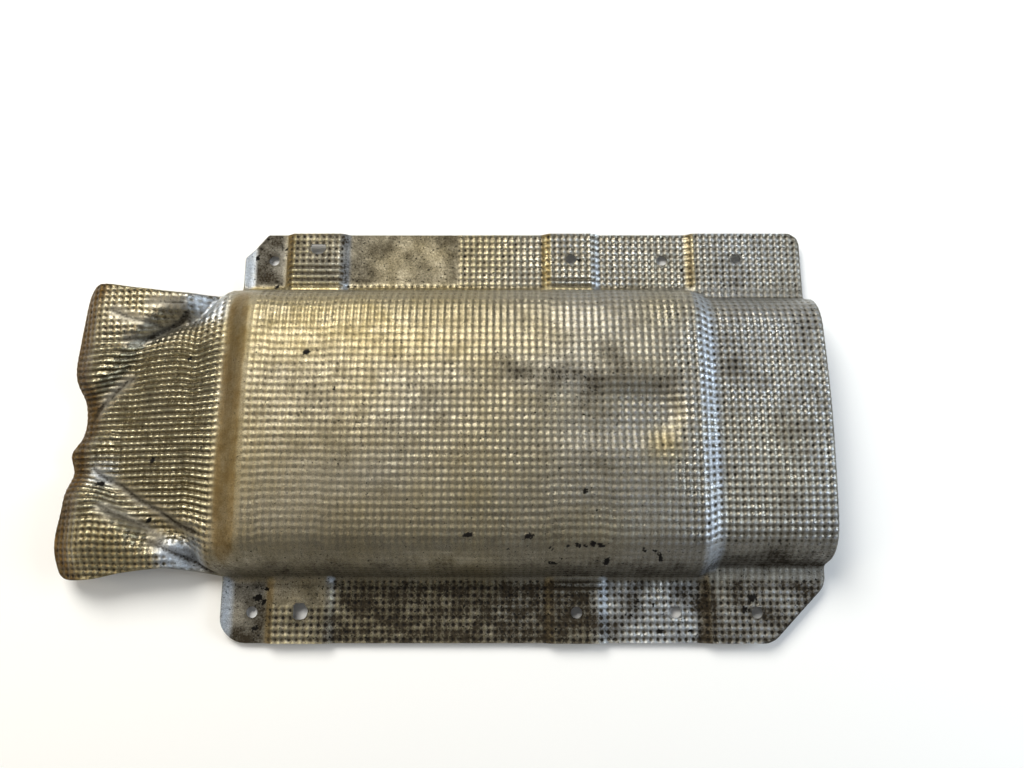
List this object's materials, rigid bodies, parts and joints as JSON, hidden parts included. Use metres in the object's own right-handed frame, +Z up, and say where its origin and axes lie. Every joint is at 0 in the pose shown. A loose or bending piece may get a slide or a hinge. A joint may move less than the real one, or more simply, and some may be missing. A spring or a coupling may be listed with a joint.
{
  "type": "exhaust heat shield",
  "caption": "Pressed sheet exhaust heat shield: a wide tunnel between two bolting flanges with raised pads, a stepped open end and a gathered skirt at the other.",
  "frame": {"origin": "middle of the four bolt holes in the flat parts of the two flanges, on the flanges' flat underside", "axes": "+X along the tunnel towards its stepped open end, +Y across it, +Z up, out of the crown"},
  "size_m": [0.5477, 0.306, 0.0475],
  "materials": {
    "embossed_sheet": "dull embossed, heat tinted and soiled"
  },
  "bodies": {
    "root": {"heat_shield": "embossed_sheet"}
  },
  "joints": []
}
